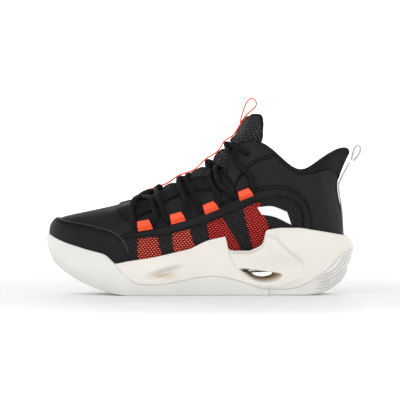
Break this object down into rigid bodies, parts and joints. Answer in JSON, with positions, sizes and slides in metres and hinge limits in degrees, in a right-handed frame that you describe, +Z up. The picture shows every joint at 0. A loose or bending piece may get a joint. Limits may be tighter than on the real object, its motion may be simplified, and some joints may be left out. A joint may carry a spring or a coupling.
{
  "type": "basketball shoe",
  "caption": "Black laced basketball high top for a left foot, with red mesh stripes, webbing lace loops, a sculpted off-white sole and pull tabs at tongue and heel.",
  "frame": {"origin": "on the floor plane under the tread, half way along the sole and on its lengthwise line", "axes": "+X towards the heel, +Y towards the medial (inner) side of this left shoe, +Z up, so the toe points to -X"},
  "size_m": [0.3067, 0.1089, 0.191],
  "materials": {
    "outsole_rubber": "satin, off-white",
    "midsole_foam": "matt moulded foam, warm off-white",
    "shank": "matt black nylon",
    "fibre_board": "matt fibre board",
    "insole_cloth": "fine black textile over foam",
    "lining_mesh": "black padded mesh",
    "stiffener": "matt non-woven sheet",
    "foam": "open foam",
    "upper_leather": "matt fine-grained synthetic leather, black",
    "overlay_leather": "matt synthetic leather, black, stitched",
    "black_mesh": "black sandwich mesh",
    "red_mesh": "salmon red sandwich mesh over dark ground",
    "tongue_mesh": "black embossed mesh",
    "binding_cloth": "black folded textile binding",
    "orange_webbing": "orange red woven webbing, slight sheen",
    "lace_cord": "black braided cord",
    "aglet_plastic": "gloss black film",
    "white_webbing": "white woven webbing",
    "badge_plastic": "satin white film"
  },
  "bodies": {
    "shoe": {"outsole_forefoot": "outsole_rubber", "outsole_heel": "outsole_rubber", "midsole": "midsole_foam", "shank_plate": "shank", "insole_board": "fibre_board", "lining": "lining_mesh", "toe_puff": "stiffener", "heel_counter": "stiffener", "collar_foam": "foam", "vamp": "upper_leather", "toe_cap": "overlay_leather", "eyestay": "overlay_leather", "quarter_lateral": "upper_leather", "quarter_medial": "upper_leather", "mesh_window_lateral": "black_mesh", "mesh_window_medial": "black_mesh", "mesh_stripes_lateral": "red_mesh", "mesh_stripes_medial": "red_mesh", "window_band_lateral": "overlay_leather", "window_band_medial": "overlay_leather", "ankle_patch_lateral": "upper_leather", "ankle_patch_medial": "upper_leather", "heel_tab": "overlay_leather", "collar_binding": "binding_cloth", "tongue_face": "tongue_mesh", "tongue_padding": "foam", "tongue_strap": "orange_webbing", "shoelace": "lace_cord", "aglets": "aglet_plastic", "heel_webbing": "white_webbing", "side_badge": "badge_plastic", "lace_loop_lateral_1": "orange_webbing", "lace_loop_lateral_2": "orange_webbing", "lace_loop_lateral_3": "orange_webbing", "lace_loop_lateral_4": "orange_webbing", "lace_loop_medial_1": "orange_webbing", "lace_loop_medial_2": "orange_webbing", "lace_loop_medial_3": "orange_webbing", "lace_loop_medial_4": "orange_webbing"},
    "tongue_flap": {"tongue_top_face": "tongue_mesh", "tongue_top_padding": "foam", "tongue_binding": "binding_cloth", "tongue_strap_end": "orange_webbing"},
    "tongue_loop": {"tongue_pull_loop": "orange_webbing"},
    "heel_loop": {"heel_pull_loop": "white_webbing"},
    "insole": {"insole": "insole_cloth"}
  },
  "joints": [
    {"name": "tongue_fold", "type": "hinge", "parent": "shoe", "child": "tongue_flap", "pos_m": [0.0345, 0, 0.1545], "axis": [0, 1, 0], "range_deg": [-40, 5], "stiffness_Nm_per_rad": 0.08},
    {"name": "tongue_loop_swing", "type": "hinge", "parent": "tongue_flap", "child": "tongue_loop", "pos_m": [0.0445, 0, 0.1715], "axis": [0, 1, 0], "range_deg": [-35, 6], "stiffness_Nm_per_rad": 0.004},
    {"name": "heel_loop_swing", "type": "hinge", "parent": "shoe", "child": "heel_loop", "pos_m": [0.1465, 0, 0.13], "axis": [0, 1, 0], "range_deg": [-4, 40], "stiffness_Nm_per_rad": 0.004},
    {"name": "insole_lift", "type": "hinge", "parent": "shoe", "child": "insole", "pos_m": [-0.136, 0.009, 0.0385], "axis": [0, 1, 0], "range_deg": [-3, 0]}
  ]
}
